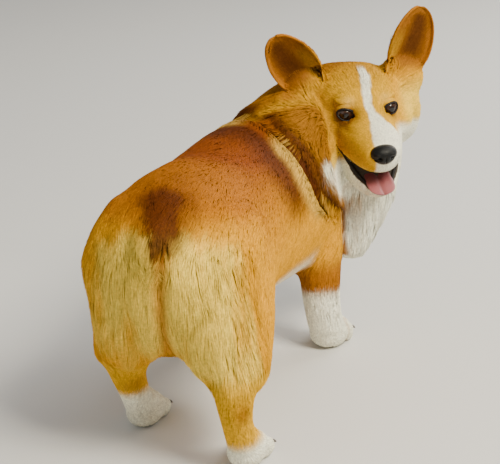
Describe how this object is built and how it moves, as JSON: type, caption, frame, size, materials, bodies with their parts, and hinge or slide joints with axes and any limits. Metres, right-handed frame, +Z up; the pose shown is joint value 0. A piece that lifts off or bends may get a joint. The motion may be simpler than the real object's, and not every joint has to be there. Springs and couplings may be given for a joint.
{
  "type": "pembroke welsh corgi",
  "caption": "Life-size Pembroke Welsh Corgi standing still and looking back over its right shoulder, mouth open and ears up.",
  "frame": {"origin": "the middle of the dog's bounds seen from above, on the floor that its four soles rest on", "axes": "+Z up; the body points along -Y, so +Y runs from its chest to its tail; +X is the dog's own left side; the head looks back towards +Y and -X"},
  "size_m": [0.2805, 0.5315, 0.3766],
  "materials": {
    "torso": "red coat",
    "neck": "tan coat over a white ruff",
    "head": "tan coat with a white blaze",
    "lower_jaw": "white coat",
    "tongue": "moist skin",
    "nose": "moist black skin",
    "eye": "wet gloss",
    "ear": "short brown coat",
    "tail": "dark red coat",
    "thigh": "long cream coat",
    "hind_leg": "short tan coat",
    "foreleg": "short tan coat",
    "hind_paw": "short white coat",
    "forepaw": "short white coat"
  },
  "bodies": {
    "root": {"ear_left": "ear", "ear_right": "ear", "eye_left": "eye", "eye_right": "eye", "nose": "nose", "head": "head", "lower_jaw": "lower_jaw", "tongue": "tongue", "neck": "neck", "hind_paw_left": "hind_paw", "hind_leg_left": "hind_leg", "thigh_left": "thigh", "hind_paw_right": "hind_paw", "hind_leg_right": "hind_leg", "thigh_right": "thigh", "forepaw_left": "forepaw", "foreleg_left": "foreleg", "forepaw_right": "forepaw", "foreleg_right": "foreleg", "tail": "tail", "torso": "torso"}
  },
  "joints": []
}
